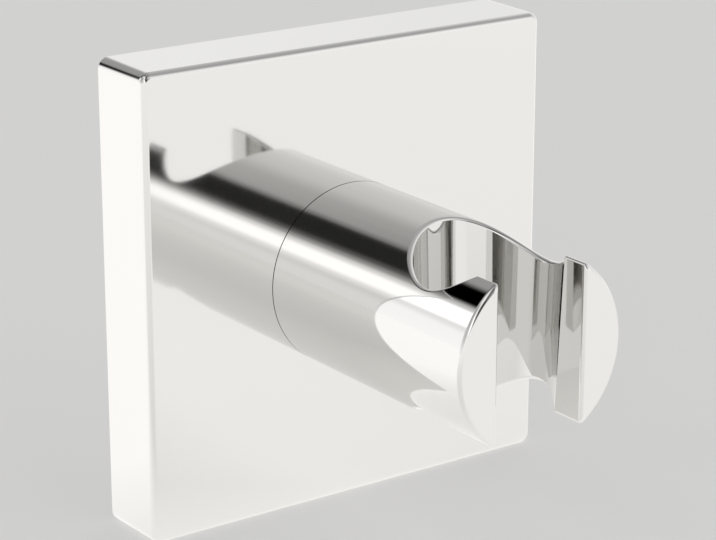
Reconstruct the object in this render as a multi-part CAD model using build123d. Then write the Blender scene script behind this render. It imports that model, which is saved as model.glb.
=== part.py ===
from build123d import *
from math import radians, sqrt, tan
import os

# Wall-mounted hand shower holder, in millimetres.
# The wall is the XZ plane, Z is up and the arm stands out towards -Y.
# A "reach" is a distance from the wall. The origin is the centre of the wall face.

# Escutcheon: hollow square plate, open at the wall
PLATE_SIDE = 75.0
PLATE_DEPTH = 12.4
PLATE_DRAFT = 1.0
PLATE_CORNER_R = 1.9
PLATE_EDGE_R = 1.0
PLATE_WALL = 2.5
PLATE_FRONT = 3.0
CAVITY_R = 1.0
BOSS_WALL = 2.5
BOSS_HEIGHT = 2.0

# Holder arm: round bar with a keyhole cradle at its free end
ARM_D = 29.8
SEAT_REACH = 47.1
SEAT_D = 21.2
SEAT_TAPER = 2.2
MOUTH_W = 15.7
PRONG_LENGTH = 12.6
ARM_EDGE_BREAK = 0.35
SEAT_WEB = 7.0

# Washer between the arm and the escutcheon
WASHER_T = 0.1
WASHER_INSET = 0.3

# Mounting spigot, staked into the bracket
SPIGOT_D = 18.0
SPIGOT_FIT = 0.05
SPIGOT_END_GAP = 0.6
SPIGOT_CHAMFER = 0.8
FLANGE_STEP = 5.0
FLANGE_T = 3.0
TENON_SIDE = 11.0
STAKE_D = 17.0
STAKE_DEPTH = 1.2
STAKE_SINK = 0.2

# Wall bracket, a stamped plate with two slotted holes
BRACKET_H = 36.0
BRACKET_T = 3.0
BRACKET_CORNER_R = 3.0
BRACKET_GAP = 0.25
SCREW_SPACING = 46.0
SCREW_SLOT_W = 5.5
SCREW_SLOT_L = 9.5

# Square-cut ring that centres the escutcheon on the spigot
PLATE_HOLE_GAP = 0.3
RING_SECTION = 2.0
RING_GAP = 0.05
RING_GROOVE_PLAY = 0.2

# Grub screw under the arm
GRUB_D = 5.0
GRUB_FIT = 0.05
GRUB_RECESS = 0.8
GRUB_NOTCH = 1.5
GRUB_TIP_D = 1.2
GRUB_HEX = 2.5
GRUB_HEX_DEPTH = 2.2

# Sizes that follow from those above
arm_base = PLATE_DEPTH + WASHER_T
arm_tip = SEAT_REACH + PRONG_LENGTH
arm_r = ARM_D / 2
seat_slope = tan(radians(SEAT_TAPER))
seat_back = SEAT_REACH - SEAT_D / 2 - seat_slope * arm_r
socket_end = seat_back - SEAT_WEB
spigot_r = SPIGOT_D / 2
spigot_tip = socket_end - SPIGOT_END_GAP
socket_r = spigot_r + SPIGOT_FIT
plate_hole_r = spigot_r + PLATE_HOLE_GAP
cavity_side = PLATE_SIDE - 2 * PLATE_WALL
cavity_depth = PLATE_DEPTH - PLATE_FRONT
boss_back = cavity_depth - BOSS_HEIGHT
ring_reach = (boss_back + PLATE_DEPTH) / 2
ring_outer_r = plate_hole_r - RING_GAP
ring_inner_r = ring_outer_r - RING_SECTION
grub_reach = (arm_base + spigot_tip) / 2

ARM_AXIS = Axis((0, 0, 0), (0, -1, 0))
# Profiles of turned pieces: radius to the right, reach upwards
TURNING = Plane(origin=(0, 0, 0), x_dir=(1, 0, 0), z_dir=(0, 0, -1))


def at(reach):
    """Plane parallel to the wall, facing away from it."""
    return Plane.XZ.offset(reach)


def turned(*corners):
    """Solid turned about the arm's axis from (radius, reach) corners."""
    return revolve(TURNING * make_face(Polyline(*corners, close=True)), ARM_AXIS)


def disc(radius, start, end):
    """Cylinder on the arm's axis between two reaches."""
    return extrude(at(start) * Circle(radius), end - start)


def drafted_square(side, depth, corner_r):
    """Square block that stands on the wall and narrows by the casting draft."""
    return extrude(Plane.XZ * RectangleRounded(side, side, corner_r), depth, taper=PLATE_DRAFT)


def make_escutcheon():
    """Square shell with a boss round the spigot's hole."""
    block = drafted_square(PLATE_SIDE, PLATE_DEPTH, PLATE_CORNER_R)
    front_edges = block.faces().sort_by(Axis.Y)[0].edges()
    block = fillet(front_edges, PLATE_EDGE_R)
    cavity = drafted_square(cavity_side, cavity_depth, CAVITY_R)
    cavity = fillet(cavity.faces().sort_by(Axis.Y)[0].edges(), CAVITY_R)
    boss = disc(plate_hole_r + BOSS_WALL, boss_back, PLATE_DEPTH - PLATE_FRONT / 2)
    hole = disc(plate_hole_r, boss_back, PLATE_DEPTH)
    return block - cavity + boss - hole


def make_arm_washer():
    """Thin ring that shows as a hairline between the arm and the plate."""
    ring = disc(arm_r - WASHER_INSET, PLATE_DEPTH, arm_base)
    return ring - disc(plate_hole_r, PLATE_DEPTH, arm_base)


def make_holder_arm():
    """Round bar with a conical seat, a hose mouth and a socket for the spigot."""
    # The seam of the round face lies along the top, clear of the grub screw and the prongs
    bar = extrude(at(arm_base) * Rot(0, 0, 90) * Circle(arm_r), arm_tip - arm_base)
    socket = disc(socket_r, arm_base, socket_end)
    grub_hole = Pos(0, -grub_reach, -arm_r / 2) * Cylinder(GRUB_D / 2 + GRUB_FIT, arm_r)

    height = 2 * ARM_D
    flare = seat_slope * height / 2
    seat_axis = Pos(0, -SEAT_REACH, 0)
    seat = seat_axis * Cone(SEAT_D / 2 - flare, SEAT_D / 2 + flare, height)
    mouth_run = 2 * PRONG_LENGTH
    mouth = seat_axis * Pos(0, -mouth_run / 2, 0) * Box(MOUTH_W, mouth_run, height)
    arm = bar - socket - grub_hole - seat - mouth
    rim = [edge for edge in arm.edges() if on_cradle_rim(edge)]
    return chamfer(rim, ARM_EDGE_BREAK)


def on_cradle_rim(edge):
    """True for the sharp edges of the seat, the mouth and the prongs' ends."""
    middle = edge @ 0.5
    on_surface = abs(sqrt(middle.X**2 + middle.Z**2) - arm_r) < 0.01
    at_tip = abs(-middle.Y - arm_tip) < 0.01
    in_cradle = -middle.Y > socket_end
    return at_tip or (on_surface and in_cradle)


def make_wall_bracket():
    """Flat plate with two slotted screw holes and a countersunk square hole."""
    width = cavity_side - 2 * (BRACKET_T * tan(radians(PLATE_DRAFT)) + BRACKET_GAP)
    outline = RectangleRounded(width, BRACKET_H, BRACKET_CORNER_R)
    slots = GridLocations(SCREW_SPACING, 0, 2, 1) * SlotOverall(SCREW_SLOT_L, SCREW_SLOT_W)
    plate = extrude(Plane.XZ * (outline - slots), BRACKET_T)
    return plate - stake(0)


def stake(sink):
    """Square tenon that flares into a countersunk head, sunk a little from the wall."""
    tenon = extrude(at(sink) * Rectangle(TENON_SIDE, TENON_SIDE), BRACKET_T - sink)
    head_r = STAKE_D / 2
    head = turned((0, sink), (head_r - sink, sink), (head_r - STAKE_DEPTH, STAKE_DEPTH), (0, STAKE_DEPTH))
    return tenon + head


def make_mounting_spigot():
    """Turned post with a flange, a ring groove, a notch and a staked tenon."""
    flange_top = BRACKET_T + FLANGE_T
    flange = disc(spigot_r + FLANGE_STEP, BRACKET_T, flange_top)
    shank = disc(spigot_r, BRACKET_T, spigot_tip)
    shank = chamfer(shank.faces().sort_by(Axis.Y)[0].edges(), SPIGOT_CHAMFER)
    groove_half = RING_SECTION / 2 + RING_GROOVE_PLAY
    groove = disc(SPIGOT_D, ring_reach - groove_half, ring_reach + groove_half)
    groove -= disc(ring_inner_r - RING_GAP, 0, arm_tip)
    return stake(STAKE_SINK) + flange + shank - groove - grub_shape(GRUB_FIT)


def make_centring_ring():
    """Square-cut ring in the spigot's groove."""
    start = ring_reach - RING_SECTION / 2
    end = ring_reach + RING_SECTION / 2
    return disc(ring_outer_r, start, end) - disc(ring_inner_r, start, end)


def grub_shape(clearance):
    """Set screw blank with a right-angled cone point, pointing up at the spigot."""
    radius = GRUB_D / 2 + clearance
    tip_z = -spigot_r + GRUB_NOTCH + clearance
    point = radius - GRUB_TIP_D / 2
    foot_z = -arm_r + GRUB_RECESS
    corners = [(0, foot_z), (radius, foot_z), (radius, tip_z - point), (GRUB_TIP_D / 2, tip_z), (0, tip_z)]
    blank = revolve(Plane.XZ * make_face(Polyline(*corners, close=True)), Axis.Z)
    return Pos(0, -grub_reach, 0) * blank


def make_arm_grub_screw():
    """Set screw with a hexagon socket at its outer end."""
    foot_z = -arm_r + GRUB_RECESS
    hexagon = RegularPolygon(GRUB_HEX / 2, 6, major_radius=False)
    socket = extrude(Pos(0, -grub_reach, foot_z) * hexagon, GRUB_HEX_DEPTH)
    return grub_shape(0) - socket


os.makedirs("parts", exist_ok=True)
PARTS = {
    "escutcheon": make_escutcheon,
    "holder_arm": make_holder_arm,
    "arm_washer": make_arm_washer,
    "wall_bracket": make_wall_bracket,
    "mounting_spigot": make_mounting_spigot,
    "centring_ring": make_centring_ring,
    "arm_grub_screw": make_arm_grub_screw,
}
for name, make in PARTS.items():
    export_step(make(), f"parts/{name}.step")
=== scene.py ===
"""Looks of a wall-mounted hand shower holder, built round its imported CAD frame."""

from math import cos, pi, radians, sin, sqrt, tan

import bmesh
import bpy
import numpy as np
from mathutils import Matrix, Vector


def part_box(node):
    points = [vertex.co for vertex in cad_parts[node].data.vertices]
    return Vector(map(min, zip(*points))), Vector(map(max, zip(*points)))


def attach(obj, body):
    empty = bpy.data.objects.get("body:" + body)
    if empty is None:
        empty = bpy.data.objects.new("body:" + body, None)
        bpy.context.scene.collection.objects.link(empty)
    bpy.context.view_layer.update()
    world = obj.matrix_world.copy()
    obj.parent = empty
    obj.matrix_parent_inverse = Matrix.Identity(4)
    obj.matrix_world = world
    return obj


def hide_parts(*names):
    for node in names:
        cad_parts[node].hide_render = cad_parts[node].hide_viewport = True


bl_info = {
    "name": "Hand Shower Holder",
    "version": (1, 0, 0),
    "blender": (4, 5, 0),
    "location": "View3D > Sidebar > Holder",
    "description": "Builds a chrome hand shower holder round its CAD frame",
    "category": "Object",
}

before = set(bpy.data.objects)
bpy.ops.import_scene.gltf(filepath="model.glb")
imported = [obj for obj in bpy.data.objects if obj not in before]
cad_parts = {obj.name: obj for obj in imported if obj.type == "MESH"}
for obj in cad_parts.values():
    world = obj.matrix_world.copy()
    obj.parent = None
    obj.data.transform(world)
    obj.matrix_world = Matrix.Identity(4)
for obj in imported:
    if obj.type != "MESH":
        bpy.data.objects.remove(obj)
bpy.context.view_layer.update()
PLATE_LOW, PLATE_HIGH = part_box("escutcheon")
ARM_LOW, ARM_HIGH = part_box("holder_arm")
GRUB_LOW, GRUB_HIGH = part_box("arm_grub_screw")
MM = 0.001

# Brightness of the studio round the arm's axis: degrees from overhead to the right, and level
AHEAD = (
    (-180, 0.90), (-80, 1.10), (-60, 0.60), (-35, 0.25), (-10, 0.05), (8, 0.08), (20, 0.25),
    (60, 0.55), (100, 0.75), (180, 0.90),
)
FRONT_FAR = (
    (-180, 0.95), (-90, 1.16), (-78, 1.16), (-73, 1.12), (-68, 1.30), (-62, 1.80), (-54, 1.80),
    (-48, 1.12), (-43, 0.42), (-38, 0.10), (-33.5, 0.028), (-15, 0.028), (-12, 0.05), (-7.5, 0.31),
    (-2.5, 0.61), (3, 0.66), (12, 0.68), (47, 0.94), (60, 1.01), (77, 1.09), (90, 1.20),
    (102, 1.22), (180, 0.95),
)
FRONT = (
    (-180, 0.95), (-90, 1.16), (-80, 1.165), (-72, 1.03), (-67.5, 1.26), (-62, 1.80), (-53, 1.80),
    (-47.5, 1.14), (-42.5, 0.46), (-37.5, 0.14), (-32, 0.028), (-15.5, 0.028), (-12, 0.05),
    (-7.5, 0.32), (-2.5, 0.49), (3, 0.51), (12, 0.57), (47, 0.93), (60, 1.00), (77, 1.085),
    (90, 1.20), (102, 1.22), (180, 0.95),
)
FRONT_SIDE = (
    (-180, 0.95), (-90, 1.10), (-75, 0.75), (-62, 0.70), (-52, 1.20), (-31, 1.15), (-26, 0.60),
    (-20, 0.12), (-8, 0.12), (0, 0.35), (42, 0.47), (60, 0.75), (90, 1.00), (180, 0.95),
)
SIDE = (
    (-180, 1.00), (-90, 1.05), (-70, 0.58), (-50, 0.40), (-42, 0.45), (-36, 1.00), (-26, 1.10),
    (-18, 0.50), (-12, 0.28), (0, 0.33), (35, 0.45), (55, 0.70), (80, 1.00), (180, 1.00),
)
BACK_SIDE = (
    (-180, 1.10), (-95, 1.20), (-70, 0.75), (-52, 0.47), (-33, 0.45), (-22, 0.25), (-15, 0.10),
    (-5, 0.30), (10, 0.45), (32, 0.58), (45, 0.88), (60, 1.00), (180, 1.05),
)
BACK = (
    (-180, 1.05), (-105, 1.26), (-75, 1.20), (-67, 0.98), (-61, 1.80), (-51, 1.80), (-45, 0.70),
    (-38, 0.00), (-23, 0.00), (-14, 0.38), (25, 0.42), (43, 0.62), (56, 0.95), (180, 1.03),
)
BACK_END = (
    (-180, 1.05), (-105, 1.26), (-80, 1.20), (-72, 1.10), (-62, 0.30), (-56, 0.00), (-46, 0.00),
    (-38, 0.20), (-30, 0.38), (18, 0.40), (30, 0.60), (42, 0.88), (54, 1.00), (180, 1.03),
)

# Where each of them holds, from straight ahead (-1) to straight back (1)
STUDIO = (
    (-0.96, AHEAD),
    (-0.84, FRONT_FAR),
    (-0.765, FRONT),
    (-0.74, FRONT),
    (-0.58, FRONT_SIDE),
    (-0.15, SIDE),
    (0.35, BACK_SIDE),
    (0.70, BACK),
    (0.77, BACK),
    (0.82, BACK_END),
)

# Lean of the soft boxes ahead, in degrees, and the places between which it falls to nothing
FRONT_LEAN = 10
FRONT_LEAN_SPAN = (-0.865, -0.765)

# Glow of the floor in the chrome: close by, to the right, far away and behind, and for the camera
FLOOR_GLOW = 0.63
FLOOR_GLOW_RIGHT = 0.81
FLOOR_GLOW_AWAY = 0.82
FLOOR_GLOW_BEHIND = 0.99
FLOOR_GLOW_SEEN = 0.36

# Metres over which that glow changes: along X, away from the middle and along Y
FLOOR_RIGHT_SPAN = (-0.05, 0.0)
FLOOR_AWAY_SPAN = (0.06, 0.35)
FLOOR_BEHIND_SPAN = (-0.18, 0.02)

# Colours of the glow and of the horizon, and half the floor's width in metres
FLOOR_TINT = (1, 0.997, 0.982)
HORIZON = (0.64, 0.639, 0.631)
FLOOR_HALF = 6

# Point that the camera looks at, its sensor's width in millimetres and the depth it sees in metres
CAMERA_TARGET = Vector((10.129, 0, -4.6875)) * MM
SENSOR_WIDTH = 36
CAMERA_CLIP = (0.01, 50)

# Bounces after which a reflection ends
BOUNCES = 10

# Divisions of the meshes
ARM_COLUMNS = 72
SEAT_ROWS = 72
TIP_ROWS = 12
BASE_ROWS = 3
NECK_ROWS = 12
ROUNDING_STEPS = 8
HOLE_COLUMNS = 10
HOLE_ROWS = 16
HOLE_RINGS = 8
CORNER_STEPS = 10
SIDE_STEPS = 18
EDGE_STEPS = 12
CAVITY_STEPS = 6
FRONT_RINGS = 4
SCREW_COLUMNS = 60
SCREW_ROWS_PER_PITCH = 12

# Half the length of the block of faces round the set screw's hole
HOLE_BLOCK = 6 * MM

# Distance below which points are welded, and the smallest angle that is divided by
WELD = 1e-7
TINY = 1e-9

# Rounds in which the seat's rim settles on the bar
RIM_ROUNDS = 60

# Share of the seat where its rim starts to narrow, and of a lip where it widens to its rims
RIM_BLEND = 0.75
LIP_BLEND = 0.08

# Rise and start of the thread's flank over half a pitch, cut off to flats at its crest and root
FLANK_RISE = 1.4
FLANK_START = -0.2

# Widening of the key's socket at its mouth, and the share of a ring that its closing face takes
KEY_LEAD_IN = 1.08
CAP_SHARE = 0.2

# Degrees from which an edge of the set screw stays sharp
SHARP_EDGE = 35

# Values of a cloudy pattern between which a finish changes, then those for tarnish and bloom
NOISE_SPAN = (0.3, 0.7)
TARNISH_SPAN = (0.35, 0.6)
BLOOM_SPAN = (0.35, 0.7)

# Roughness at both ends of that span, and the share by which a plain one varies
CAST_BLUR = (0.26, 0.42)
SHEET_BLUR = (0.26, 0.44)
BRASS_BLUR = (0.2, 0.42)
SCREW_BLUR = (0.24, 0.4)
BLUR_SPREAD = 0.2

# Cleanness of the tarnished brass and of the worn screw, from their worst to their best
BRASS_CLEAN = (0.7, 1)
SCREW_CLEAN = (0.75, 1)

# Depths of the patterns in metres
WAVINESS = 4e-6
CAST_GRAIN = 4e-5
SHEET_GRAIN = 4e-6
LATHE_MARKS = 2.5e-5
SCREW_MARKS = 4e-6


def length(name, text, value):
    """A property that holds a length in metres."""
    return bpy.props.FloatProperty(
        name=name, description=text, default=value, precision=5, unit="LENGTH"
    )


def angle(name, text, value):
    """A property that holds an angle, given here in degrees."""
    return bpy.props.FloatProperty(
        name=name, description=text, default=radians(value), subtype="ANGLE"
    )


def share(name, text, value):
    """A property that holds a share from 0 to 1."""
    return bpy.props.FloatProperty(
        name=name, description=text, default=value, min=0, max=1, subtype="FACTOR"
    )


def colour(name, text, value):
    """A property that holds a colour."""
    return bpy.props.FloatVectorProperty(
        name=name, description=text, default=value, min=0, max=1, size=3, subtype="COLOR"
    )


class EscutcheonSettings(bpy.types.PropertyGroup):
    """Sizes of the square cover plate."""

    side: length("Side", "Width and height at the wall", PLATE_HIGH.x - PLATE_LOW.x)
    depth: length("Depth", "Distance from the wall to the front", PLATE_HIGH.y - PLATE_LOW.y)
    draft: angle("Draft", "Lean of the sides towards the front", 1)
    corner_r: length("Corner radius", "Radius of the upright corners at the wall", 1.9 * MM)
    edge_r: length("Edge radius", "Rounding of the front edges", 1.0 * MM)
    wall: length("Wall", "Thickness of the sides", 2.5 * MM)
    front: length("Front", "Thickness of the front", 3.0 * MM)
    cavity_r: length("Cavity radius", "Roundings inside the shell", 1.2 * MM)
    hole_r: length("Hole radius", "Hole for the spigot", 9.3 * MM)
    boss_wall: length("Boss wall", "Thickness of the ring round the hole", 2.5 * MM)
    boss_height: length("Boss height", "Height of that ring inside the shell", 2.0 * MM)


class ArmSettings(bpy.types.PropertyGroup):
    """Sizes of the round arm and its cradle."""

    diameter: length("Diameter", "Diameter of the bar", ARM_HIGH.x - ARM_LOW.x)
    base: length("Base", "Reach of the end that stands on the plate", -ARM_HIGH.y)
    tip: length("Tip", "Reach of the prongs' ends", -ARM_LOW.y)
    seat_reach: length("Seat reach", "Reach of the seat's axis", 47.1 * MM)
    seat_d: length("Seat diameter", "Diameter of the seat at mid height", 21.2 * MM)
    seat_taper: angle("Seat taper", "Half angle of the seat's cone", 2.2)
    mouth_w: length("Mouth width", "Gap between the prongs", 15.7 * MM)
    seat_edge_r: length("Seat edge radius", "Rounding of the seat's rims", 0.6 * MM)
    edge_r: length("Mouth edge radius", "Rounding of the mouth's rims", 0.36 * MM)
    lip_r: length("Lip radius", "Rounding of the lips between the seat and the mouth", 0.15 * MM)
    tip_r: length("Tip radius", "Rounding of the prongs' ends", 0.75 * MM)
    socket_r: length("Socket radius", "Radius of the socket for the spigot", 9.05 * MM)
    socket_end: length("Socket end", "Reach of the socket's floor", 28.93 * MM)


class GrubSettings(bpy.types.PropertyGroup):
    """Sizes of the set screw under the arm."""

    reach: length("Reach", "Reach of the screw's axis", -(GRUB_LOW.y + GRUB_HIGH.y) / 2)
    diameter: length("Diameter", "Outer diameter of the thread", GRUB_HIGH.x - GRUB_LOW.x)
    foot_z: length("Foot", "Height of the outer end", GRUB_LOW.z)
    tip_z: length("Tip", "Height of the point", GRUB_HIGH.z)
    hole_r: length("Hole radius", "Radius of the arm's hole", 2.55 * MM)
    pitch: length("Pitch", "Pitch of the thread", 0.8 * MM)
    thread: length("Thread depth", "Depth of the thread", 0.42 * MM)
    hexagon: length("Hexagon", "Width across the flats of the key's socket", 2.5 * MM)
    hexagon_depth: length("Hexagon depth", "Depth of the key's socket", 2.2 * MM)
    chamfer: length("Chamfer", "Chamfer of the outer end", 0.3 * MM)
    point_r: length("Point radius", "Radius of the blunt point", 0.6 * MM)


class FinishSettings(bpy.types.PropertyGroup):
    """Colours and gloss of the finishes."""

    chrome: colour("Chrome", "Colour of the plating", (0.757, 0.7505, 0.736))
    arm_roughness: share("Arm roughness", "Blur of the arm's reflections", 0.04)
    arm_edge: share("Arm edge", "Reflection of the arm's outside at a grazing angle", 0.88)
    cradle_shade: share("Cradle shade", "Brightness of the cradle next to the arm", 0.95)
    cradle_film: share("Cradle film", "Clear film that brightens the cradle at a grazing angle", 1)
    plate_roughness: share("Plate roughness", "Blur of the plate's reflections", 0.06)
    steel: colour("Sheet steel", "Colour of the bracket", (0.56, 0.56, 0.55))
    brass: colour("Brass", "Colour of the spigot", (0.70, 0.55, 0.31))
    rubber: colour("Rubber", "Colour of the centring ring", (0.02, 0.02, 0.021))
    washer: colour("Washer", "Colour of the washer", (0.12, 0.12, 0.122))
    screw: colour("Screw", "Colour of the set screw", (0.30, 0.30, 0.31))


class StageSettings(bpy.types.PropertyGroup):
    """Camera and studio."""

    azimuth: angle("Azimuth", "Turn of the camera round the object", -35.435)
    elevation: angle("Elevation", "Height of the camera above the horizon", 17.962)
    distance: length("Distance", "From the camera to the point it looks at", 0.41456)
    lens: bpy.props.FloatProperty(
        name="Lens", description="Focal length", default=126.64, unit="CAMERA"
    )
    floor: colour("Floor", "Colour of the floor", (0.5, 0.5, 0.495))


class HolderSettings(bpy.types.PropertyGroup):
    """All settings of the holder."""

    escutcheon: bpy.props.PointerProperty(type=EscutcheonSettings)
    arm: bpy.props.PointerProperty(type=ArmSettings)
    grub: bpy.props.PointerProperty(type=GrubSettings)
    finish: bpy.props.PointerProperty(type=FinishSettings)
    stage: bpy.props.PointerProperty(type=StageSettings)


# Meshes with exact normals


class Skin:
    """Patches of points and exact normals, welded into one mesh."""

    def __init__(self):
        self.points = []
        self.normals = []
        self.quads = []
        self.cast = []
        self.cradle = []
        self.count = 0

    def patch(self, points, normals, mirrored=False, cast=0, cradle=0):
        """Adds a grid of points, with one normal for each point or one for all."""
        points = np.asarray(points, float)
        normals = np.broadcast_to(np.asarray(normals, float), points.shape)
        rows, columns = points.shape[:2]
        index = self.count + np.arange(rows * columns).reshape(rows, columns)
        corners = [index[:-1, :-1], index[1:, :-1], index[1:, 1:], index[:-1, 1:]]
        self.quads.append(np.stack(corners, -1).reshape(-1, 4))
        faces = (rows - 1) * (columns - 1)
        self.cast.append(np.full(faces, cast, float))
        self.cradle.append(np.full(faces, cradle))
        self.points.append(points.reshape(-1, 3))
        self.normals.append(normals.reshape(-1, 3))
        self.count += rows * columns
        if mirrored:
            flip = np.array([-1, 1, 1])
            self.patch(points * flip, normals * flip, cast=cast, cradle=cradle)

    def mesh(self, name):
        """Welds the patches and gives the mesh their normals."""
        points = np.concatenate(self.points)
        normals = np.concatenate(self.normals)
        quads = np.concatenate(self.quads)
        a, b, c, d = (points[quads[:, k]] for k in range(4))
        facing = np.cross(c - a, d - b)
        inward = (facing * normals[quads].sum(1)).sum(1) < 0
        quads[inward] = quads[inward][:, ::-1]

        mesh = bpy.data.meshes.new(name)
        mesh.from_pydata(points.tolist(), [], quads.tolist(), shade_flat=False)
        exact = mesh.attributes.new("exact_normal", "FLOAT_VECTOR", "CORNER")
        exact.data.foreach_set("vector", normals[quads].ravel())
        cast = mesh.attributes.new("cast", "FLOAT", "FACE")
        cast.data.foreach_set("value", np.concatenate(self.cast))
        mesh.polygons.foreach_set("material_index", np.concatenate(self.cradle))
        welded = bmesh.new()
        welded.from_mesh(mesh)
        bmesh.ops.remove_doubles(welded, verts=welded.verts, dist=WELD)
        welded.to_mesh(mesh)
        welded.free()
        corner_normals = np.zeros(len(mesh.loops) * 3)
        exact = mesh.attributes["exact_normal"]
        exact.data.foreach_get("vector", corner_normals)
        mesh.attributes.remove(exact)
        mesh.normals_split_custom_set(corner_normals.reshape(-1, 3).tolist())
        return mesh


def turned_normal(a, b, part):
    """Unit normals turned from a to b by a share of the angle between them."""
    gap = np.arccos(np.clip((a * b).sum(-1, keepdims=True), -1, 1))
    gap = np.maximum(gap, TINY)
    return (np.sin((1 - part) * gap) * a + np.sin(part * gap) * b) / np.sin(gap)


def round_edge(skin, core, first, second, radius):
    """Rolls a radius along an edge whose centre line is core, between two faces' normals."""
    part = np.linspace(0, 1, ROUNDING_STEPS + 1)[None, :, None]
    first = np.broadcast_to(first, core.shape)[:, None]
    second = np.broadcast_to(second, core.shape)[:, None]
    normals = turned_normal(first, second, part)
    radius = np.broadcast_to(radius, len(core))[:, None, None]
    skin.patch(core[:, None] + radius * normals, normals, mirrored=True, cradle=1)


def round_corner(skin, core, first, second, third, radius):
    """Closes the corner where three rounded edges meet."""
    part = np.linspace(0, 1, ROUNDING_STEPS + 1)[:, None]
    start = turned_normal(first, second, part)[:, None]
    end = turned_normal(first, third, part)[:, None]
    normals = turned_normal(start, end, part[None])
    skin.patch(core + radius * normals, normals, mirrored=True, cradle=1)


def eased(part):
    """A share from 0 to 1 that starts and ends gently."""
    return part**2 * (3 - 2 * part)


def on_bar(radius, phi, reach):
    """Points of a round bar. phi runs from the top down the right side."""
    phi, reach = np.broadcast_arrays(phi, reach)
    return np.stack([radius * np.sin(phi), -reach, radius * np.cos(phi)], -1)


def bar_normal(phi):
    """Outward normal of a round bar."""
    return np.stack([np.sin(phi), 0 * phi, np.cos(phi)], -1)


def pierced_tube(skin, radius, sign, start, ends, hole_reach, hole_r):
    """Round wall between two reaches with a hole at the bottom. Gives the hole's rim."""
    phi = np.linspace(0, pi, ARM_COLUMNS + 1)
    split = ARM_COLUMNS - HOLE_COLUMNS
    low = hole_reach - HOLE_BLOCK
    high = hole_reach + HOLE_BLOCK

    def wall(across, first, last, rows):
        part = np.linspace(0, 1, rows + 1)[:, None]
        reach = first * (1 - part) + last * part
        points = on_bar(radius, across, reach)
        skin.patch(points, sign * np.broadcast_to(bar_normal(across), points.shape), mirrored=True)

    wall(phi, start + 0 * phi, low + 0 * phi, BASE_ROWS)
    wall(phi[: split + 1], low + 0 * phi[: split + 1], high + 0 * phi[: split + 1], HOLE_ROWS)
    wall(phi, high + 0 * phi, ends, NECK_ROWS)

    under = phi[split:]
    rise = np.linspace(low, high, HOLE_ROWS + 1)
    frame_phi = np.concatenate([under[::-1], np.full(HOLE_ROWS - 1, phi[split]), under])
    frame_reach = np.concatenate([np.full(under.size, low), rise[1:-1], np.full(under.size, high)])
    turn = np.linspace(0, pi, frame_phi.size)
    rim_phi = pi - np.arcsin(hole_r * np.sin(turn) / radius)
    rim_reach = hole_reach - hole_r * np.cos(turn)
    part = np.linspace(0, 1, HOLE_RINGS + 1)[:, None]
    block_phi = frame_phi * (1 - part) + rim_phi * part
    block_reach = frame_reach * (1 - part) + rim_reach * part
    skin.patch(on_bar(radius, block_phi, block_reach), sign * bar_normal(block_phi), mirrored=True)
    return on_bar(radius, rim_phi, rim_reach), turn


def prong_end(skin, arm, v):
    """Rounded end of a prong: its section, round at both corners, drawn in to the tip."""
    to_front = np.array([0, -1.0, 0])
    to_mouth = np.array([-1.0, 0, 0])
    part = np.linspace(0, 1, ROUNDING_STEPS + 1)[:, None]
    rows = []
    for turn in np.linspace(0, pi / 2, 2 * ROUNDING_STEPS + 1):
        inset = arm.tip_r * (1 - cos(turn))
        ahead = to_front * (arm.tip - arm.tip_r * (1 - sin(turn)))
        bar_r = arm.diameter / 2 - inset
        core_r = bar_r - arm.edge_r
        core_w = arm.mouth_w / 2 + inset + arm.edge_r
        core_z = sqrt(core_r**2 - core_w**2)
        start = np.arctan2(core_w, core_z)
        phi = start + v * (pi - 2 * start)
        outer = bar_normal(phi)
        chord = np.stack([core_w - arm.edge_r + 0 * v, 0 * v, core_z * (1 - 2 * v)], -1)
        sides = [(bar_r * outer + ahead, outer, np.ones((v.size, 1)))]
        sides.append((chord + ahead, np.broadcast_to(to_mouth, chord.shape), np.ones((v.size, 1))))
        for end, up in ((0, 1), (-1, -1)):
            # Where the corner's centre moves faster than the sides, its surface leans more
            flat = turned_normal(outer[end], to_mouth, part)
            pace = np.array([1, 0, -up * (core_r + core_w) / core_z])
            lean = -(flat * pace).sum(-1, keepdims=True)
            corner = np.array([core_w, 0, up * core_z]) + arm.edge_r * flat
            sides.append((corner + ahead, flat, lean))
        row = []
        for points, flat, lean in sides:
            normals = flat * cos(turn) + lean * sin(turn) * to_front
            row.append((points, normals / np.linalg.norm(normals, axis=-1, keepdims=True)))
        rows.append(row)
    for side in range(4):
        points = np.stack([row[side][0] for row in rows])
        skin.patch(points, np.stack([row[side][1] for row in rows]), mirrored=True)

    # The flat end spans the four sides of the last section
    arc, chord, top, low = (points for points, normals in rows[-1])
    a = part[:, :, None]
    b = v[None, :, None]
    across = arc * (1 - a) + chord * a + top[:, None] * (1 - b) + low[:, None] * b
    corners = (arc[0] * (1 - a) + chord[0] * a) * (1 - b) + (arc[-1] * (1 - a) + chord[-1] * a) * b
    skin.patch(across - corners, to_front, mirrored=True)


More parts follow.
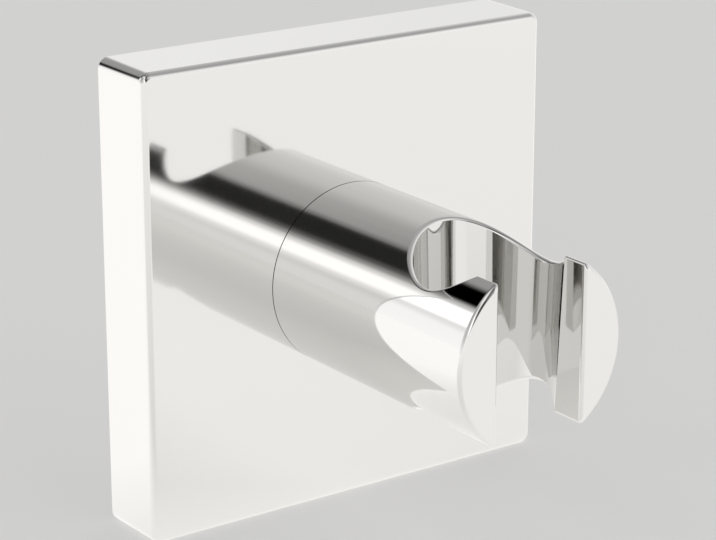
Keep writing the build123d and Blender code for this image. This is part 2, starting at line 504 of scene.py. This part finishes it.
def arm_mesh(arm, grub):
    """The arm with its keyhole cradle, its socket and the set screw's hole."""
    skin = Skin()
    bar_r = arm.diameter / 2
    edge_r = arm.edge_r
    slope = tan(arm.seat_taper)
    lean = arm.seat_taper

    # The roundings roll on a core that lies one edge radius below the faces
    core_r = bar_r - edge_r
    core_w = arm.mouth_w / 2 + edge_r
    core_tip = arm.tip - arm.tip_r
    core_z = sqrt(core_r**2 - core_w**2)

    def seat_r(z, radius):
        return arm.seat_d / 2 + radius / cos(lean) + slope * z

    def seat_core(u, z, radius, lip_r):
        """Points a radius inside the seat's wall, from its back (u = 0) to the lip (u = 1)."""
        lip_turn = np.arcsin((arm.mouth_w / 2 + lip_r) / seat_r(z, lip_r))
        turn = pi - u * (pi - lip_turn)
        across = seat_r(z, radius) * np.sin(turn)
        reach = arm.seat_reach + seat_r(z, radius) * np.cos(turn)
        normals = np.stack(
            [-cos(lean) * np.sin(turn), cos(lean) * np.cos(turn), sin(lean) + 0 * turn], -1
        )
        return np.stack([across, -reach, z], -1), normals

    def rim(u, radius, side):
        """Centre line of the rounding where the seat leaves the bar at the top or the bottom."""
        z = np.full_like(u, side * core_z)
        for _ in range(RIM_ROUNDS):
            points, _ = seat_core(u, z, radius, edge_r)
            z = side * np.sqrt((bar_r - radius) ** 2 - points[:, 0] ** 2)
        return seat_core(u, z, radius, edge_r)

    # Shares of the way round the seat (u), down the bar (v) and along the prongs (s)
    u = np.linspace(0, 1, SEAT_ROWS + 1)
    v = np.linspace(0, 1, ARM_COLUMNS + 1)
    s = np.linspace(0, 1, TIP_ROWS + 1)
    to_lip = eased(np.clip((u - RIM_BLEND) / (1 - RIM_BLEND), 0, 1))
    rim_r = arm.seat_edge_r + (edge_r - arm.seat_edge_r) * to_lip
    to_end = eased(np.clip(1 - np.minimum(v, 1 - v) / LIP_BLEND, 0, 1))
    lip_r = arm.lip_r + (edge_r - arm.lip_r) * to_end
    top_rim, top_normal = rim(u, rim_r, 1)
    low_rim, low_normal = rim(u, rim_r, -1)
    top_phi = np.arctan2(top_rim[:, 0], top_rim[:, 2])
    low_phi = np.arctan2(low_rim[:, 0], low_rim[:, 2])

    # Round outside, from the plate to the back of the seat, past the seat and along the prongs
    ease = eased(v)
    back = -(top_rim[0, 1] * (1 - ease) + low_rim[0, 1] * ease)
    outer_rim, turn = pierced_tube(skin, bar_r, 1, arm.base, back, grub.reach, grub.hole_r)
    phi = top_phi[:, None] * (1 - v) + low_phi[:, None] * v
    reach = -(top_rim[:, 1:2] * (1 - ease) + low_rim[:, 1:2] * ease)
    skin.patch(on_bar(bar_r, phi, reach), bar_normal(phi), mirrored=True)
    lip_reach = reach[-1]
    prong_phi = np.broadcast_to(phi[-1], (s.size, v.size))
    prong_reach = lip_reach * (1 - s[:, None]) + core_tip * s[:, None]
    skin.patch(on_bar(bar_r, prong_phi, prong_reach), bar_normal(prong_phi), mirrored=True)

    # Seat and mouth
    z = top_rim[:, 2:] * (1 - v) + low_rim[:, 2:] * v
    wall_r = rim_r[:, None] + (lip_r - edge_r) * u[:, None]
    seat, seat_normal = seat_core(u[:, None] + 0 * z, z, wall_r, lip_r)
    skin.patch(seat + wall_r[..., None] * seat_normal, seat_normal, mirrored=True, cradle=1)
    lip = seat[-1]
    to_mouth = np.array([-1.0, 0, 0])
    wall_reach = -lip[:, 1] * (1 - s[:, None]) + core_tip * s[:, None]
    wall_z = np.broadcast_to(core_z * (1 - 2 * v), wall_reach.shape)
    wall = np.stack([np.full_like(wall_reach, core_w), -wall_reach, wall_z], -1)
    skin.patch(wall + edge_r * to_mouth, to_mouth, mirrored=True, cradle=1)

    # Roundings
    round_edge(skin, top_rim, bar_normal(top_phi), top_normal, rim_r)
    round_edge(skin, low_rim, bar_normal(low_phi), low_normal, rim_r)
    round_edge(skin, lip, seat_normal[-1], to_mouth, lip_r)
    round_edge(skin, wall[:, 0], bar_normal(phi[-1, 0]), to_mouth, edge_r)
    round_edge(skin, wall[:, -1], bar_normal(phi[-1, -1]), to_mouth, edge_r)
    for end in (0, -1):
        outward = bar_normal(phi[-1, end])
        round_corner(skin, lip[end], outward, seat_normal[-1, end], to_mouth, edge_r)
    prong_end(skin, arm, v)

    # Socket for the spigot, the set screw's hole and the end on the plate
    phi = pi * v
    to_wall = np.array([0, 1.0, 0])
    floor = np.full_like(v, arm.socket_end)
    inner_rim, turn = pierced_tube(
        skin, arm.socket_r, -1, arm.base, floor, grub.reach, grub.hole_r
    )
    hole_normal = np.stack([-np.sin(turn), -np.cos(turn), 0 * turn], -1)
    skin.patch([outer_rim, inner_rim], hole_normal, mirrored=True)
    rings = [on_bar(r, phi, arm.base + 0 * phi) for r in (bar_r, arm.socket_r)]
    skin.patch(rings, to_wall, mirrored=True)
    rings = [on_bar(r, phi, floor) for r in (arm.socket_r, arm.socket_r / 2, 0)]
    skin.patch(rings, to_wall, mirrored=True)
    return skin.mesh("holder_arm_chrome")


def square_loop(half, corner_r):
    """Points and outward directions round a square with rounded corners."""
    points = []
    outward = []
    for quarter in range(4):
        turn = np.linspace(0, pi / 2, CORNER_STEPS + 1) + quarter * pi / 2
        heading = np.stack([np.cos(turn), 0 * turn, np.sin(turn)], -1)
        middle = np.sign(np.round(heading[0] + heading[-1])) * (half - corner_r)
        arc = middle + corner_r * heading
        along = np.array([-heading[-1][2], 0, heading[-1][0]]) * 2 * (half - corner_r)
        part = np.linspace(0, 1, SIDE_STEPS + 1)[1:-1, None]
        points += [arc, arc[-1] + along * part]
        outward += [heading, np.repeat(heading[-1:], SIDE_STEPS - 1, 0)]
    points = np.concatenate(points + [points[0][:1]])
    outward = np.concatenate(outward + [outward[0][:1]])
    return points, outward


def escutcheon_mesh(plate):
    """The square shell with its drafted sides, rounded front edges and spigot hole."""
    skin = Skin()
    away = np.array([0, -1.0, 0])
    loop, outward = square_loop(plate.side / 2, plate.corner_r)
    compass = np.arctan2(loop[:, 2], loop[:, 0])
    heading = np.stack([np.cos(compass), 0 * compass, np.sin(compass)], -1)

    def ring(inset, reach):
        return loop - outward * inset + away * reach

    def circle(radius, reach):
        return heading * radius + away * reach

    # Sides and rounded front edges
    lean = plate.draft
    edge_r = plate.edge_r
    edge_reach = plate.depth - edge_r
    front_inset = edge_r * cos(lean) + (edge_reach + edge_r * sin(lean)) * tan(lean)
    turn = np.linspace(lean, pi / 2, EDGE_STEPS + 1)
    roll = [ring(front_inset - edge_r * cos(t), edge_reach + edge_r * sin(t)) for t in turn]
    roll_normals = [outward * cos(t) + away * sin(t) for t in turn]
    skin.patch([ring(0, 0), roll[0]], roll_normals[0])
    skin.patch(roll, roll_normals)

    # Front, hole and boss
    cavity_end = plate.depth - plate.front
    boss_end = cavity_end - plate.boss_height
    boss_r = plate.hole_r + plate.boss_wall
    hole_rim = circle(plate.hole_r, plate.depth)
    parts = np.linspace(0, 1, FRONT_RINGS + 1)
    skin.patch([roll[-1] * (1 - part) + hole_rim * part for part in parts], away)
    skin.patch([hole_rim, circle(plate.hole_r, boss_end)], -heading)
    skin.patch([circle(plate.hole_r, boss_end), circle(boss_r, boss_end)], -away, cast=1)
    skin.patch([circle(boss_r, boss_end), circle(boss_r, cavity_end)], heading, cast=1)

    # Cavity, open at the wall
    inner, inner_out = square_loop(plate.side / 2 - plate.wall, plate.cavity_r)
    cavity_reach = cavity_end - edge_r
    floor_inset = edge_r * cos(lean) + (cavity_reach + edge_r * sin(lean)) * tan(lean)

    def cavity(inset, reach):
        return inner - inner_out * inset + away * reach

    turn = np.linspace(lean, pi / 2, CAVITY_STEPS + 1)
    bowl = [cavity(floor_inset - edge_r * cos(t), cavity_reach + edge_r * sin(t)) for t in turn]
    bowl_normals = [-inner_out * cos(t) - away * sin(t) for t in turn]
    skin.patch([bowl[-1], circle(boss_r, cavity_end)], -away, cast=1)
    skin.patch(bowl, bowl_normals, cast=1)
    skin.patch([cavity(0, 0), bowl[0]], bowl_normals[0], cast=1)
    skin.patch([cavity(0, 0), ring(0, 0)], -away, cast=1)
    return skin.mesh("escutcheon_chrome")


def on_axis(radius, turn, reach, z):
    """Points of a ring round the set screw's upright axis."""
    return np.stack([radius * np.cos(turn), radius * np.sin(turn) - reach, z + 0 * turn], -1)


def screw_blank(grub):
    """The set screw before its thread is cut, and how much of the thread each point gets."""
    outer = grub.diameter / 2
    turn = np.arange(SCREW_COLUMNS) * 2 * pi / SCREW_COLUMNS
    hexagon = grub.hexagon / 2 / np.cos(turn % (pi / 3) - pi / 6)
    shoulder = grub.tip_z - (outer - grub.point_r)
    start = grub.foot_z + grub.chamfer
    floor = grub.foot_z + grub.hexagon_depth
    rows = int(SCREW_ROWS_PER_PITCH * (shoulder - start) / grub.pitch)
    rings = [(CAP_SHARE * hexagon, floor, 0), (hexagon, floor, 0), (hexagon, start, 0)]
    rings += [(KEY_LEAD_IN * hexagon, grub.foot_z, 0), (outer - grub.chamfer, grub.foot_z, 0)]
    rings += [(outer, z, 1) for z in np.linspace(start, shoulder, rows + 1)]
    rings += [(grub.point_r, grub.tip_z, 0), (CAP_SHARE * grub.point_r, grub.tip_z, 0)]

    points = []
    shares = []
    for radius, z, share_of_depth in rings:
        ring = on_axis(radius + 0 * turn, turn, grub.reach, z)
        points += ring.tolist()
        shares += [share_of_depth] * SCREW_COLUMNS
    index = np.arange(len(points)).reshape(-1, SCREW_COLUMNS)
    after = np.roll(index, -1, axis=1)
    quads = np.stack([index[:-1], after[:-1], after[1:], index[1:]], -1).reshape(-1, 4)
    faces = quads.tolist() + [index[0].tolist(), index[-1].tolist()]
    mesh = bpy.data.meshes.new("arm_grub_screw_blank")
    mesh.from_pydata(points, [], faces)
    thread = mesh.attributes.new("thread", "FLOAT", "POINT")
    thread.data.foreach_set("value", shares)
    shell = bmesh.new()
    shell.from_mesh(mesh)
    bmesh.ops.recalc_face_normals(shell, faces=shell.faces)
    shell.to_mesh(mesh)
    shell.free()
    return mesh


def thread_tree():
    """Node tree that cuts a thread into a blank, as deep as its "thread" attribute allows."""
    tree = bpy.data.node_groups.new("cut_thread", "GeometryNodeTree")
    tree.interface.new_socket("Geometry", in_out="INPUT", socket_type="NodeSocketGeometry")
    for name in ("Pitch", "Depth", "Reach"):
        tree.interface.new_socket(name, in_out="INPUT", socket_type="NodeSocketFloat")
    tree.interface.new_socket("Material", in_out="INPUT", socket_type="NodeSocketMaterial")
    tree.interface.new_socket("Geometry", in_out="OUTPUT", socket_type="NodeSocketGeometry")
    given = add_node(tree, "NodeGroupInput").outputs

    # How far round and along the helix a point is
    position = add_node(tree, "GeometryNodeInputPosition").outputs["Position"]
    split = add_node(tree, "ShaderNodeSeparateXYZ", {"Vector": position}).outputs
    ahead = maths(tree, "ADD", split["Y"], given["Reach"])
    turns = maths(tree, "DIVIDE", maths(tree, "ARCTAN2", ahead, split["X"]), 2 * pi)
    along = maths(tree, "DIVIDE", split["Z"], given["Pitch"])
    phase = maths(tree, "FRACT", maths(tree, "SUBTRACT", along, turns))

    # A ridge with straight flanks and narrow flats at its crest and root
    flank = maths(tree, "ABSOLUTE", maths(tree, "MULTIPLY_ADD", phase, 2, -1))
    flank = maths(tree, "MULTIPLY_ADD", flank, FLANK_RISE, FLANK_START, use_clamp=True)
    share_of_depth = add_node(
        tree, "GeometryNodeInputNamedAttribute", {"Name": "thread"}, data_type="FLOAT"
    )
    root = maths(tree, "MULTIPLY", flank, share_of_depth.outputs["Attribute"])
    cut = maths(tree, "MULTIPLY", maths(tree, "MULTIPLY", root, given["Depth"]), -1)
    outward = combined(tree, split["X"], ahead)
    outward = add_node(tree, "ShaderNodeVectorMath", {0: outward}, operation="NORMALIZE")
    offset = add_node(
        tree,
        "ShaderNodeVectorMath",
        {0: outward.outputs["Vector"], "Scale": cut},
        operation="SCALE",
    )

    # The root's depth is kept for the material, which paints shade into the roots
    kept = add_node(
        tree,
        "GeometryNodeStoreNamedAttribute",
        {"Geometry": given["Geometry"], "Name": "root", "Value": root},
        data_type="FLOAT",
        domain="POINT",
    )
    moved = add_node(
        tree,
        "GeometryNodeSetPosition",
        {"Geometry": kept.outputs["Geometry"], "Offset": offset.outputs["Vector"]},
    )
    real = add_node(tree, "GeometryNodeRealizeInstances", {"Geometry": moved.outputs["Geometry"]})
    finished = add_node(
        tree,
        "GeometryNodeSetMaterial",
        {"Geometry": real.outputs["Geometry"], "Material": given["Material"]},
    )
    add_node(tree, "NodeGroupOutput", {"Geometry": finished.outputs["Geometry"]})
    return tree


def screw_mesh(context, grub, material):
    """The set screw with its thread, as a plain mesh."""
    blank = bpy.data.objects.new("arm_grub_screw_blank", screw_blank(grub))
    context.scene.collection.objects.link(blank)
    modifier = blank.modifiers.new("Thread", "NODES")
    tree = thread_tree()
    modifier.node_group = tree
    values = {"Pitch": grub.pitch, "Depth": grub.thread, "Reach": grub.reach, "Material": material}
    for socket in tree.interface.items_tree:
        if socket.in_out == "INPUT" and socket.name in values:
            modifier[socket.identifier] = values[socket.name]
    seen = blank.evaluated_get(context.evaluated_depsgraph_get())
    mesh = bpy.data.meshes.new_from_object(seen)
    mesh.name = "arm_grub_screw_thread"
    blank.modifiers.remove(modifier)
    bpy.data.objects.remove(blank)
    mesh.shade_smooth()
    mesh.set_sharp_from_angle(angle=radians(SHARP_EDGE))
    return mesh


# Materials


def new_material(name, metallic=0):
    """A material with a Principled shader. Gives the material, its tree and the shader."""
    material = bpy.data.materials.new(name)
    material.use_nodes = True
    tree = material.node_tree
    shader = next(n for n in tree.nodes if n.type == "BSDF_PRINCIPLED")
    shader.inputs["Metallic"].default_value = metallic
    return material, tree, shader


def add_node(tree, kind, inputs=None, **settings):
    """Adds a node, with settings and with values or links for its inputs."""
    node = tree.nodes.new(kind)
    for key, value in settings.items():
        setattr(node, key, value)
    for key, value in (inputs or {}).items():
        if isinstance(value, bpy.types.NodeSocket):
            tree.links.new(value, node.inputs[key])
        else:
            node.inputs[key].default_value = value
    return node


def object_coordinates(tree, scale=(1, 1, 1)):
    """Object coordinates in millimetres, stretched by a scale."""
    texture = add_node(tree, "ShaderNodeTexCoord")
    mapping = add_node(
        tree,
        "ShaderNodeMapping",
        {"Vector": texture.outputs["Object"], "Scale": [k / MM for k in scale]},
    )
    return mapping.outputs["Vector"]


def maths(tree, operation, *values, **settings):
    """Result of a sum or function of values or links."""
    inputs = dict(enumerate(values))
    return add_node(tree, "ShaderNodeMath", inputs, operation=operation, **settings).outputs[0]


def combined(tree, x, y):
    """A flat vector from two links."""
    return add_node(tree, "ShaderNodeCombineXYZ", {"X": x, "Y": y}).outputs["Vector"]


def ranged(tree, value, low, high, start=0, end=1):
    """Maps a value to a range."""
    node = add_node(
        tree,
        "ShaderNodeMapRange",
        {"Value": value, "From Min": start, "From Max": end, "To Min": low, "To Max": high},
    )
    return node.outputs["Result"]


def mixed(tree, factor, first, second):
    """Mixes two colours, each a value or a link."""
    node = add_node(tree, "ShaderNodeMix", data_type="RGBA")
    colours = [k for k in node.inputs if k.type == "RGBA"]
    factors = [k for k in node.inputs if k.type == "VALUE" and k.enabled]
    for socket, value in ((factors[0], factor), (colours[0], first), (colours[1], second)):
        if isinstance(value, bpy.types.NodeSocket):
            tree.links.new(value, socket)
        else:
            socket.default_value = value
    return next(k for k in node.outputs if k.type == "RGBA")


def noise(tree, where, scale, detail=4):
    """Cloudy pattern from 0 to 1, with features of about 1 / scale millimetres."""
    settings = {"Vector": where, "Scale": scale, "Detail": detail, "Roughness": 0.6}
    return add_node(tree, "ShaderNodeTexNoise", settings).outputs["Fac"]


def varied(tree, pattern, roughness):
    """A roughness that varies a little with a pattern."""
    low = roughness * (1 - BLUR_SPREAD)
    high = roughness * (1 + BLUR_SPREAD)
    return ranged(tree, pattern, low, high, *NOISE_SPAN)


def emboss(tree, shader, height, depth):
    """Raises the surface by up to a depth in metres."""
    bump = add_node(tree, "ShaderNodeBump", {"Height": height, "Strength": 1, "Distance": depth})
    for link in shader.inputs["Normal"].links:
        tree.links.new(link.from_socket, bump.inputs["Normal"])
    tree.links.new(bump.outputs["Normal"], shader.inputs["Normal"])


def darker(tint, part):
    """A darker shade of a colour and the colour itself, both with full alpha."""
    return (*(part * k for k in tint), 1), (*tint, 1)


def chrome(name, tint, roughness, edge=1, film=0):
    """Polished plating with a faint haze and waviness, and a dull grain on faces left as cast.

    edge is what it reflects at a grazing angle, film the weight of a clear film over it.
    """
    material, tree, shader = new_material(name, metallic=1)
    shader.inputs["Specular Tint"].default_value = (edge, edge, edge, 1)
    shader.inputs["Coat Weight"].default_value = film
    shader.inputs["Coat Roughness"].default_value = roughness
    where = object_coordinates(tree)
    cast = add_node(tree, "ShaderNodeAttribute", attribute_name="cast").outputs["Fac"]
    shade, full = darker(tint, part=0.72)
    tree.links.new(mixed(tree, cast, full, shade), shader.inputs["Base Color"])
    polished = varied(tree, noise(tree, where, scale=0.12, detail=5), roughness)
    grain = noise(tree, where, scale=1.6)
    dull = ranged(tree, grain, *CAST_BLUR, *NOISE_SPAN)
    tree.links.new(ranged(tree, cast, polished, dull), shader.inputs["Roughness"])
    emboss(tree, shader, noise(tree, where, scale=0.1, detail=2), WAVINESS)
    emboss(tree, shader, maths(tree, "MULTIPLY", grain, cast), CAST_GRAIN)
    return material


def sheet_steel(tint):
    """Rolled stainless sheet with a straight grain along X and dull patches."""
    material, tree, shader = new_material("stainless_sheet", metallic=1)
    grain = noise(tree, object_coordinates(tree, scale=(0.05, 6, 6)), scale=1.2)
    patches = noise(tree, object_coordinates(tree), scale=0.09, detail=3)
    colours = mixed(tree, ranged(tree, grain, 0, 1, *NOISE_SPAN), *darker(tint, part=0.82))
    tree.links.new(colours, shader.inputs["Base Color"])
    tree.links.new(ranged(tree, patches, *SHEET_BLUR, *NOISE_SPAN), shader.inputs["Roughness"])
    emboss(tree, shader, grain, SHEET_GRAIN)
    return material


def turned_brass(tint):
    """Bare brass with turning marks round the arm's axis and a thin tarnish."""
    material, tree, shader = new_material("turned_brass", metallic=1)
    where = object_coordinates(tree)
    split = add_node(tree, "ShaderNodeSeparateXYZ", {"Vector": where}).outputs
    flat = combined(tree, split["X"], split["Z"])
    radius = add_node(tree, "ShaderNodeVectorMath", {0: flat}, operation="LENGTH").outputs["Value"]
    marks = noise(tree, combined(tree, radius, split["Y"]), scale=2.2)
    tarnish = noise(tree, where, scale=0.22, detail=5)
    clean_unshaded_share = ranged(tree, tarnish, *BRASS_CLEAN, *TARNISH_SPAN)
    colours = mixed(tree, clean_unshaded_share, *darker(tint, part=0.5))
    tree.links.new(colours, shader.inputs["Base Color"])
    tree.links.new(ranged(tree, marks, *BRASS_BLUR, *NOISE_SPAN), shader.inputs["Roughness"])
    emboss(tree, shader, marks, LATHE_MARKS)
    return material


def moulded(name, tint, roughness, grain_size, depth):
    """Dark moulded rubber or film with a fine grain and a dusty bloom."""
    material, tree, shader = new_material(name)
    where = object_coordinates(tree)
    grain = noise(tree, where, scale=1 / grain_size, detail=2)
    bloom = noise(tree, where, scale=0.35)
    colours = mixed(tree, ranged(tree, bloom, 0, 1, *BLOOM_SPAN), *darker(tint, part=0.55))
    tree.links.new(colours, shader.inputs["Base Color"])
    tree.links.new(varied(tree, bloom, roughness), shader.inputs["Roughness"])
    emboss(tree, shader, grain, depth)
    return material


def screw_steel(tint):
    """Plain steel with tool marks round the screw, and painted shade that darkens the roots of its
    thread.
    """
    material, tree, shader = new_material("screw_steel", metallic=1)
    marks = noise(tree, object_coordinates(tree, scale=(1, 1, 8)), scale=1.5, detail=3)
    root = add_node(tree, "ShaderNodeAttribute", attribute_name="root").outputs["Fac"]
    worn = ranged(tree, marks, *SCREW_CLEAN, *NOISE_SPAN)
    # Painted shade: the deeper a point lies in a root of the thread, the darker its colour
    clean_unshaded_share = maths(tree, "SUBTRACT", worn, root)
    colours = mixed(tree, clean_unshaded_share, *darker(tint, part=0.35))
    tree.links.new(colours, shader.inputs["Base Color"])
    tree.links.new(ranged(tree, marks, *SCREW_BLUR, *NOISE_SPAN), shader.inputs["Roughness"])
    emboss(tree, shader, marks, SCREW_MARKS)
    return material


# Pieces


def add_piece(name, mesh, materials, node):
    """Links a finished mesh as a piece that stands for a CAD node."""
    for material in materials:
        mesh.materials.append(material)
    piece = bpy.data.objects.new(name, mesh)
    bpy.context.scene.collection.objects.link(piece)
    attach(piece, "root")
    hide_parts(node)


def dress(node, material):
    """Gives a CAD node its material."""
    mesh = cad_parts[node].data
    mesh.materials.clear()
    mesh.materials.append(material)


# Operators


class AddEscutcheon(bpy.types.Operator):
    """Build the square cover plate"""

    bl_idname = "holder.add_escutcheon"
    bl_label = "Escutcheon"

    def execute(self, context):
        holder = context.scene.holder
        finish = holder.finish
        material = chrome("polished_chrome_plate", finish.chrome, finish.plate_roughness)
        mesh = escutcheon_mesh(holder.escutcheon)
        add_piece("escutcheon_shell", mesh, [material], "escutcheon")
        return {"FINISHED"}


class AddArm(bpy.types.Operator):
    """Build the round arm with its keyhole cradle"""

    bl_idname = "holder.add_arm"
    bl_label = "Holder arm"

    def execute(self, context):
        holder = context.scene.holder
        finish = holder.finish
        roughness = finish.arm_roughness
        outside = chrome("polished_chrome_arm", finish.chrome, roughness, edge=finish.arm_edge)
        tint = [finish.cradle_shade * k for k in finish.chrome]
        cradle = chrome("polished_chrome_cradle", tint, roughness, film=finish.cradle_film)
        mesh = arm_mesh(holder.arm, holder.grub)
        add_piece("holder_arm_bar", mesh, [outside, cradle], "holder_arm")
        return {"FINISHED"}


class AddGrubScrew(bpy.types.Operator):
    """Build the threaded set screw under the arm"""

    bl_idname = "holder.add_grub_screw"
    bl_label = "Set screw"

    def execute(self, context):
        holder = context.scene.holder
        material = screw_steel(holder.finish.screw)
        mesh = screw_mesh(context, holder.grub, material)
        add_piece("arm_grub_screw_thread", mesh, [], "arm_grub_screw")
        return {"FINISHED"}


class DressHiddenParts(bpy.types.Operator):
    """Give the bracket, spigot, ring and washer their finishes"""

    bl_idname = "holder.dress_hidden_parts"
    bl_label = "Hidden parts"

    def execute(self, context):
        finish = context.scene.holder.finish
        dress("wall_bracket", sheet_steel(finish.steel))
        dress("mounting_spigot", turned_brass(finish.brass))
        rubber = moulded("ring_rubber", finish.rubber, roughness=0.6, grain_size=0.12, depth=1e-5)
        dress("centring_ring", rubber)
        film = moulded("washer_plastic", finish.washer, roughness=0.45, grain_size=0.05, depth=2e-6)
        dress("arm_washer", film)
        return {"FINISHED"}


class AddStage(bpy.types.Operator):
    """Set up the floor, the studio light and the camera"""

    bl_idname = "holder.add_stage"
    bl_label = "Stage"

    def execute(self, context):
        scene = context.scene
        stage = scene.holder.stage
        scene.view_settings.view_transform = "Standard"
        add_camera(scene, stage)
        add_floor(scene, stage)
        add_world(scene)
        scene.cycles.max_bounces = BOUNCES
        scene.cycles.glossy_bounces = BOUNCES
        return {"FINISHED"}


# Stage


def add_camera(scene, stage):
    """Camera at the photograph's angle."""
    level = cos(stage.elevation)
    across = sin(stage.azimuth) * level
    ahead = -cos(stage.azimuth) * level
    heading = Vector((across, ahead, sin(stage.elevation)))
    data = bpy.data.cameras.new("photo_camera")
    data.sensor_fit = "HORIZONTAL"
    data.sensor_width = SENSOR_WIDTH
    data.lens = stage.lens
    data.clip_start, data.clip_end = CAMERA_CLIP
    camera = bpy.data.objects.new("photo_camera", data)
    camera.location = CAMERA_TARGET + heading * stage.distance
    camera.rotation_euler = (-heading).to_track_quat("-Z", "Y").to_euler()
    scene.collection.objects.link(camera)
    scene.camera = camera


def floor_material(stage):
    """Matt pale floor that keeps the shadow and glows softly, more so behind the object."""
    material, tree, shader = new_material("studio_floor")
    shader.inputs["Base Color"].default_value = (*stage.floor, 1)
    shader.inputs["Roughness"].default_value = 1
    shader.inputs["Specular IOR Level"].default_value = 0
    where = add_node(tree, "ShaderNodeTexCoord").outputs["Object"]
    split = add_node(tree, "ShaderNodeSeparateXYZ", {"Vector": where}).outputs
    away = add_node(tree, "ShaderNodeVectorMath", {0: where}, operation="LENGTH").outputs["Value"]
    glow = ranged(tree, split["X"], FLOOR_GLOW, FLOOR_GLOW_RIGHT, *FLOOR_RIGHT_SPAN)
    away = ranged(tree, away, FLOOR_GLOW, FLOOR_GLOW_AWAY, *FLOOR_AWAY_SPAN)
    behind = ranged(tree, split["Y"], 0, FLOOR_GLOW_BEHIND, *FLOOR_BEHIND_SPAN)
    for other in (away, behind):
        glow = maths(tree, "MAXIMUM", glow, other)
    seen = add_node(tree, "ShaderNodeLightPath").outputs
    glow = ranged(tree, seen["Is Camera Ray"], glow, FLOOR_GLOW_SEEN)
    shader.inputs["Emission Color"].default_value = (*FLOOR_TINT, 1)
    tree.links.new(glow, shader.inputs["Emission Strength"])
    return material


def add_floor(scene, stage):
    """Plain pale floor under the plate."""
    mesh = bpy.data.meshes.new("studio_floor")
    signs = ((-1, -1), (1, -1), (1, 1), (-1, 1))
    corners = [(FLOOR_HALF * x, FLOOR_HALF * y, PLATE_LOW.z) for x, y in signs]
    mesh.from_pydata(corners, [], [(0, 1, 2, 3)])
    mesh.materials.append(floor_material(stage))
    floor = bpy.data.objects.new("studio_floor", mesh)
    scene.collection.objects.link(floor)


def band_ramp(tree, turn, bands, top):
    """Brightness of the studio round the arm's axis, as a share of its top."""
    ramp = add_node(tree, "ShaderNodeValToRGB", {"Fac": turn})
    ramp.color_ramp.interpolation = "EASE"
    stops = ramp.color_ramp.elements
    while len(stops) < len(bands):
        stops.new(0.5)
    # Places are set before levels, because a moved stop may change its rank
    for stop, (degrees, _) in zip(stops, bands):
        stop.position = degrees / 360 + 0.5
    for stop, (_, brightness) in zip(stops, bands):
        level = brightness / top
        stop.color = (level, level, level, 1)
    return ramp.outputs["Color"]


def add_world(scene):
    """Soft boxes and flags that run along the arm, seen in the chrome."""
    world = bpy.data.worlds.new("studio")
    world.use_nodes = True
    tree = world.node_tree
    background = next(n for n in tree.nodes if n.type == "BACKGROUND")
    heading = add_node(tree, "ShaderNodeTexCoord").outputs["Generated"]
    split = add_node(tree, "ShaderNodeSeparateXYZ", {"Vector": heading}).outputs
    turn = maths(tree, "ARCTAN2", split["X"], split["Z"])
    lean = ranged(tree, split["Y"], 0.5 + FRONT_LEAN / 360, 0.5, *FRONT_LEAN_SPAN)
    turn = maths(tree, "MULTIPLY_ADD", turn, 0.5 / pi, lean)
    top = max(brightness for _, bands in STUDIO for _, brightness in bands)
    row_end, bands = STUDIO[0]
    studio = band_ramp(tree, turn, bands, top)
    for row, bands in STUDIO[1:]:
        part = ranged(tree, split["Y"], 0, 1, row_end, row)
        studio = mixed(tree, part, studio, band_ramp(tree, turn, bands, top))
        row_end = row
    seen = add_node(tree, "ShaderNodeLightPath").outputs["Is Camera Ray"]
    colours = mixed(tree, seen, studio, (*HORIZON, 1))
    tree.links.new(colours, background.inputs["Color"])
    strength = ranged(tree, seen, top, 1)
    tree.links.new(strength, background.inputs["Strength"])
    scene.world = world


# Add-on


class HolderPanel(bpy.types.Panel):
    """Lists the holder's operators and sizes"""

    bl_idname = "VIEW3D_PT_holder"
    bl_label = "Hand Shower Holder"
    bl_space_type = "VIEW_3D"
    bl_region_type = "UI"
    bl_category = "Holder"

    def draw(self, context):
        holder = context.scene.holder
        for operator in OPERATORS:
            self.layout.operator(operator.bl_idname)
        for group in ("escutcheon", "arm", "grub", "finish", "stage"):
            settings = getattr(holder, group)
            box = self.layout.box()
            box.label(text=group.capitalize())
            for key in settings.__annotations__:
                box.prop(settings, key)


OPERATORS = (AddEscutcheon, AddArm, AddGrubScrew, DressHiddenParts, AddStage)
SETTINGS = (EscutcheonSettings, ArmSettings, GrubSettings, FinishSettings, StageSettings)
CLASSES = (*SETTINGS, HolderSettings, *OPERATORS, HolderPanel)


def register():
    """Registers the classes and the scene's settings."""
    for cls in CLASSES:
        bpy.utils.register_class(cls)
    bpy.types.Scene.holder = bpy.props.PointerProperty(type=HolderSettings)


def unregister():
    """Removes the scene's settings and the classes."""
    del bpy.types.Scene.holder
    for cls in reversed(CLASSES):
        bpy.utils.unregister_class(cls)


def main():
    """Builds the holder and its stage."""
    register()
    bpy.ops.holder.add_escutcheon()
    bpy.ops.holder.add_arm()
    bpy.ops.holder.add_grub_screw()
    bpy.ops.holder.dress_hidden_parts()
    bpy.ops.holder.add_stage()


if __name__ == "__main__":
    main()
